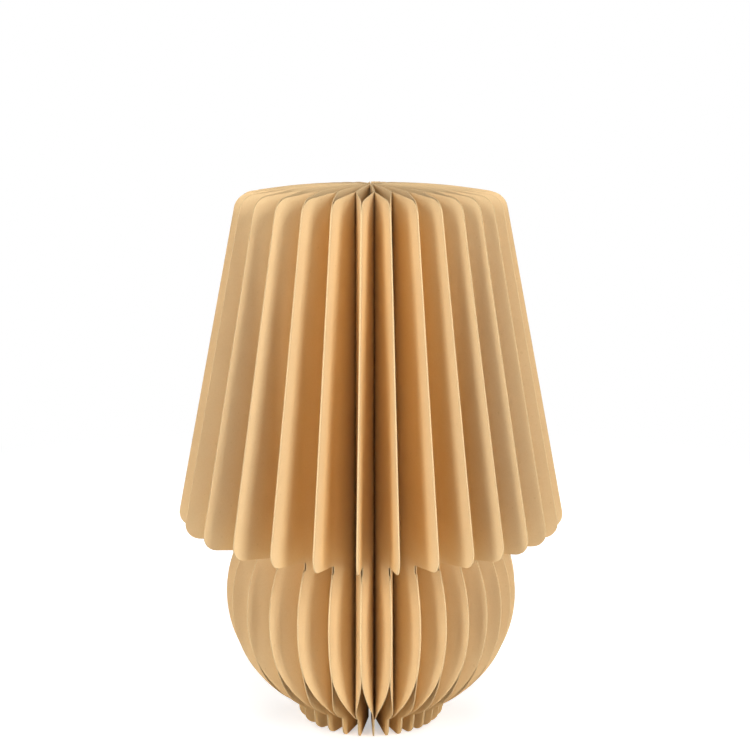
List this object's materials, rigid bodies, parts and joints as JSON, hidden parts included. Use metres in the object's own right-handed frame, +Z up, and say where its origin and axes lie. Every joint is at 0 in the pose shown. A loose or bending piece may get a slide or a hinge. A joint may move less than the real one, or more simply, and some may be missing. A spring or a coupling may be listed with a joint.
{
  "type": "folding paper table lamp",
  "caption": "Cordless table lamp of glued kraft paper leaves that fan round a light stick into a shade over a bulb-shaped base, and fold flat like a book.",
  "frame": {"origin": "on the table, under the light stick's axis", "axes": "+Z up along the stick, +Y towards the seam where the two cover boards meet"},
  "size_m": [0.2264, 0.2268, 0.32],
  "materials": {
    "kraft_paper": "matte uncoated kraft paper",
    "cover_board": "kraft-faced board",
    "magnet": "nickel plated",
    "clip_steel": "spring steel",
    "opal_plastic": "frosted opal diffuser",
    "black_plastic": "moulded, fine texture",
    "bar_aluminium": "extruded",
    "strip_white": "white solder mask",
    "led_phosphor": "phosphor window",
    "cell_wrap": "shrink sleeve",
    "contact_nickel": "nickel",
    "board_green": "solder mask",
    "socket_steel": "stamped shell"
  },
  "bodies": {
    "stick": {"fixed_cover": "cover_board", "fixed_cover_magnets": "magnet", "stick_clips": "clip_steel", "clip_rivets": "clip_steel", "diffuser_tube": "opal_plastic", "top_cap": "black_plastic", "bottom_cap": "black_plastic", "led_bar": "bar_aluminium", "led_strips": "strip_white", "led_chips": "led_phosphor", "battery_cell": "cell_wrap", "battery_holder": "black_plastic", "battery_contacts": "contact_nickel", "charge_board": "board_green", "charge_chips": "black_plastic", "usb_socket": "socket_steel", "button_switch": "black_plastic"},
    "leaf_01": {"leaf_01": "kraft_paper"},
    "leaf_02": {"leaf_02": "kraft_paper"},
    "leaf_03": {"leaf_03": "kraft_paper"},
    "leaf_04": {"leaf_04": "kraft_paper"},
    "leaf_05": {"leaf_05": "kraft_paper"},
    "leaf_06": {"leaf_06": "kraft_paper"},
    "leaf_07": {"leaf_07": "kraft_paper"},
    "leaf_08": {"leaf_08": "kraft_paper"},
    "leaf_09": {"leaf_09": "kraft_paper"},
    "leaf_10": {"leaf_10": "kraft_paper"},
    "leaf_11": {"leaf_11": "kraft_paper"},
    "leaf_12": {"leaf_12": "kraft_paper"},
    "leaf_13": {"leaf_13": "kraft_paper"},
    "leaf_14": {"leaf_14": "kraft_paper"},
    "leaf_15": {"leaf_15": "kraft_paper"},
    "leaf_16": {"leaf_16": "kraft_paper"},
    "leaf_17": {"leaf_17": "kraft_paper"},
    "leaf_18": {"leaf_18": "kraft_paper"},
    "leaf_19": {"leaf_19": "kraft_paper"},
    "leaf_20": {"leaf_20": "kraft_paper"},
    "leaf_21": {"leaf_21": "kraft_paper"},
    "leaf_22": {"leaf_22": "kraft_paper"},
    "leaf_23": {"leaf_23": "kraft_paper"},
    "leaf_24": {"leaf_24": "kraft_paper"},
    "leaf_25": {"leaf_25": "kraft_paper"},
    "leaf_26": {"leaf_26": "kraft_paper"},
    "leaf_27": {"leaf_27": "kraft_paper"},
    "leaf_28": {"leaf_28": "kraft_paper"},
    "leaf_29": {"leaf_29": "kraft_paper"},
    "leaf_30": {"leaf_30": "kraft_paper"},
    "moving_cover": {"moving_cover": "cover_board", "moving_cover_magnets": "magnet"},
    "power_button": {"power_button": "black_plastic"}
  },
  "joints": [
    {"name": "fold", "type": "hinge", "parent": "stick", "child": "moving_cover", "pos_m": [0, 0, 0], "axis": [0, 0, 1], "range_deg": [-328, 0]},
    {"name": "leaf_01_turn", "type": "hinge", "parent": "stick", "child": "leaf_01", "pos_m": [0, 0, 0], "axis": [0, 0, 1], "range_deg": [-5.9, 0.05], "deforming": ["leaf_01"]},
    {"name": "leaf_02_turn", "type": "hinge", "parent": "stick", "child": "leaf_02", "pos_m": [0, 0, 0], "axis": [0, 0, 1], "range_deg": [-16.46, 0.05], "deforming": ["leaf_02"]},
    {"name": "leaf_03_turn", "type": "hinge", "parent": "stick", "child": "leaf_03", "pos_m": [0, 0, 0], "axis": [0, 0, 1], "range_deg": [-27.55, 0.05], "deforming": ["leaf_03"]},
    {"name": "leaf_04_turn", "type": "hinge", "parent": "stick", "child": "leaf_04", "pos_m": [0, 0, 0], "axis": [0, 0, 1], "range_deg": [-39.23, 0.05], "deforming": ["leaf_04"]},
    {"name": "leaf_05_turn", "type": "hinge", "parent": "stick", "child": "leaf_05", "pos_m": [0, 0, 0], "axis": [0, 0, 1], "range_deg": [-51.5, 0.05], "deforming": ["leaf_05"]},
    {"name": "leaf_06_turn", "type": "hinge", "parent": "stick", "child": "leaf_06", "pos_m": [0, 0, 0], "axis": [0, 0, 1], "range_deg": [-64.29, 0.05], "deforming": ["leaf_06"]},
    {"name": "leaf_07_turn", "type": "hinge", "parent": "stick", "child": "leaf_07", "pos_m": [0, 0, 0], "axis": [0, 0, 1], "range_deg": [-77.47, 0.05], "deforming": ["leaf_07"]},
    {"name": "leaf_08_turn", "type": "hinge", "parent": "stick", "child": "leaf_08", "pos_m": [0, 0, 0], "axis": [0, 0, 1], "range_deg": [-90.85, 0.05], "deforming": ["leaf_08"]},
    {"name": "leaf_09_turn", "type": "hinge", "parent": "stick", "child": "leaf_09", "pos_m": [0, 0, 0], "axis": [0, 0, 1], "range_deg": [-104.23, 0.05], "deforming": ["leaf_09"]},
    {"name": "leaf_10_turn", "type": "hinge", "parent": "stick", "child": "leaf_10", "pos_m": [0, 0, 0], "axis": [0, 0, 1], "range_deg": [-117.4, 0.05], "deforming": ["leaf_10"]},
    {"name": "leaf_11_turn", "type": "hinge", "parent": "stick", "child": "leaf_11", "pos_m": [0, 0, 0], "axis": [0, 0, 1], "range_deg": [-130.19, 0.05], "deforming": ["leaf_11"]},
    {"name": "leaf_12_turn", "type": "hinge", "parent": "stick", "child": "leaf_12", "pos_m": [0, 0, 0], "axis": [0, 0, 1], "range_deg": [-142.46, 0.05], "deforming": ["leaf_12"]},
    {"name": "leaf_13_turn", "type": "hinge", "parent": "stick", "child": "leaf_13", "pos_m": [0, 0, 0], "axis": [0, 0, 1], "range_deg": [-154.14, 0.05], "deforming": ["leaf_13"]},
    {"name": "leaf_14_turn", "type": "hinge", "parent": "stick", "child": "leaf_14", "pos_m": [0, 0, 0], "axis": [0, 0, 1], "range_deg": [-165.23, 0.05], "deforming": ["leaf_14"]},
    {"name": "leaf_15_turn", "type": "hinge", "parent": "stick", "child": "leaf_15", "pos_m": [0, 0, 0], "axis": [0, 0, 1], "range_deg": [-175.79, 0.05], "deforming": ["leaf_15"]},
    {"name": "leaf_16_turn", "type": "hinge", "parent": "stick", "child": "leaf_16", "pos_m": [0, 0, 0], "axis": [0, 0, 1], "range_deg": [-185.91, 0.05], "deforming": ["leaf_16"]},
    {"name": "leaf_17_turn", "type": "hinge", "parent": "stick", "child": "leaf_17", "pos_m": [0, 0, 0], "axis": [0, 0, 1], "range_deg": [-195.74, 0.05], "deforming": ["leaf_17"]},
    {"name": "leaf_18_turn", "type": "hinge", "parent": "stick", "child": "leaf_18", "pos_m": [0, 0, 0], "axis": [0, 0, 1], "range_deg": [-205.4, 0.05], "deforming": ["leaf_18"]},
    {"name": "leaf_19_turn", "type": "hinge", "parent": "stick", "child": "leaf_19", "pos_m": [0, 0, 0], "axis": [0, 0, 1], "range_deg": [-215.02, 0.05], "deforming": ["leaf_19"]},
    {"name": "leaf_20_turn", "type": "hinge", "parent": "stick", "child": "leaf_20", "pos_m": [0, 0, 0], "axis": [0, 0, 1], "range_deg": [-224.68, 0.05], "deforming": ["leaf_20"]},
    {"name": "leaf_21_turn", "type": "hinge", "parent": "stick", "child": "leaf_21", "pos_m": [0, 0, 0], "axis": [0, 0, 1], "range_deg": [-234.43, 0.05], "deforming": ["leaf_21"]},
    {"name": "leaf_22_turn", "type": "hinge", "parent": "stick", "child": "leaf_22", "pos_m": [0, 0, 0], "axis": [0, 0, 1], "range_deg": [-244.26, 0.05], "deforming": ["leaf_22"]},
    {"name": "leaf_23_turn", "type": "hinge", "parent": "stick", "child": "leaf_23", "pos_m": [0, 0, 0], "axis": [0, 0, 1], "range_deg": [-254.15, 0.05], "deforming": ["leaf_23"]},
    {"name": "leaf_24_turn", "type": "hinge", "parent": "stick", "child": "leaf_24", "pos_m": [0, 0, 0], "axis": [0, 0, 1], "range_deg": [-264.03, 0.05], "deforming": ["leaf_24"]},
    {"name": "leaf_25_turn", "type": "hinge", "parent": "stick", "child": "leaf_25", "pos_m": [0, 0, 0], "axis": [0, 0, 1], "range_deg": [-273.87, 0.05], "deforming": ["leaf_25"]},
    {"name": "leaf_26_turn", "type": "hinge", "parent": "stick", "child": "leaf_26", "pos_m": [0, 0, 0], "axis": [0, 0, 1], "range_deg": [-283.62, 0.05], "deforming": ["leaf_26"]},
    {"name": "leaf_27_turn", "type": "hinge", "parent": "stick", "child": "leaf_27", "pos_m": [0, 0, 0], "axis": [0, 0, 1], "range_deg": [-293.28, 0.05], "deforming": ["leaf_27"]},
    {"name": "leaf_28_turn", "type": "hinge", "parent": "stick", "child": "leaf_28", "pos_m": [0, 0, 0], "axis": [0, 0, 1], "range_deg": [-302.9, 0.05], "deforming": ["leaf_28"]},
    {"name": "leaf_29_turn", "type": "hinge", "parent": "stick", "child": "leaf_29", "pos_m": [0, 0, 0], "axis": [0, 0, 1], "range_deg": [-312.56, 0.05], "deforming": ["leaf_29"]},
    {"name": "leaf_30_turn", "type": "hinge", "parent": "stick", "child": "leaf_30", "pos_m": [0, 0, 0], "axis": [0, 0, 1], "range_deg": [-322.38, 0.05], "deforming": ["leaf_30"]},
    {"name": "button_press", "type": "slide", "parent": "stick", "child": "power_button", "axis": [0, 0, 1], "range_m": [0, 0.0005], "stiffness_N_per_m": 3000, "springref_m": -0.0002}
  ],
  "couplings": [
    {"joint": "leaf_01_turn", "follows": "fold", "ratio": 0.017847},
    {"joint": "leaf_02_turn", "follows": "fold", "ratio": 0.050025},
    {"joint": "leaf_03_turn", "follows": "fold", "ratio": 0.083836},
    {"joint": "leaf_04_turn", "follows": "fold", "ratio": 0.11946},
    {"joint": "leaf_05_turn", "follows": "fold", "ratio": 0.15687},
    {"joint": "leaf_06_turn", "follows": "fold", "ratio": 0.19586},
    {"joint": "leaf_07_turn", "follows": "fold", "ratio": 0.23603},
    {"joint": "leaf_08_turn", "follows": "fold", "ratio": 0.27682},
    {"joint": "leaf_09_turn", "follows": "fold", "ratio": 0.31761},
    {"joint": "leaf_10_turn", "follows": "fold", "ratio": 0.35778},
    {"joint": "leaf_11_turn", "follows": "fold", "ratio": 0.39677},
    {"joint": "leaf_12_turn", "follows": "fold", "ratio": 0.43418},
    {"joint": "leaf_13_turn", "follows": "fold", "ratio": 0.4698},
    {"joint": "leaf_14_turn", "follows": "fold", "ratio": 0.50361},
    {"joint": "leaf_15_turn", "follows": "fold", "ratio": 0.53579},
    {"joint": "leaf_16_turn", "follows": "fold", "ratio": 0.56665},
    {"joint": "leaf_17_turn", "follows": "fold", "ratio": 0.59661},
    {"joint": "leaf_18_turn", "follows": "fold", "ratio": 0.62606},
    {"joint": "leaf_19_turn", "follows": "fold", "ratio": 0.65539},
    {"joint": "leaf_20_turn", "follows": "fold", "ratio": 0.68484},
    {"joint": "leaf_21_turn", "follows": "fold", "ratio": 0.71456},
    {"joint": "leaf_22_turn", "follows": "fold", "ratio": 0.74454},
    {"joint": "leaf_23_turn", "follows": "fold", "ratio": 0.77468},
    {"joint": "leaf_24_turn", "follows": "fold", "ratio": 0.80483},
    {"joint": "leaf_25_turn", "follows": "fold", "ratio": 0.83481},
    {"joint": "leaf_26_turn", "follows": "fold", "ratio": 0.86453},
    {"joint": "leaf_27_turn", "follows": "fold", "ratio": 0.89398},
    {"joint": "leaf_28_turn", "follows": "fold", "ratio": 0.92331},
    {"joint": "leaf_29_turn", "follows": "fold", "ratio": 0.95276},
    {"joint": "leaf_30_turn", "follows": "fold", "ratio": 0.98272}
  ]
}
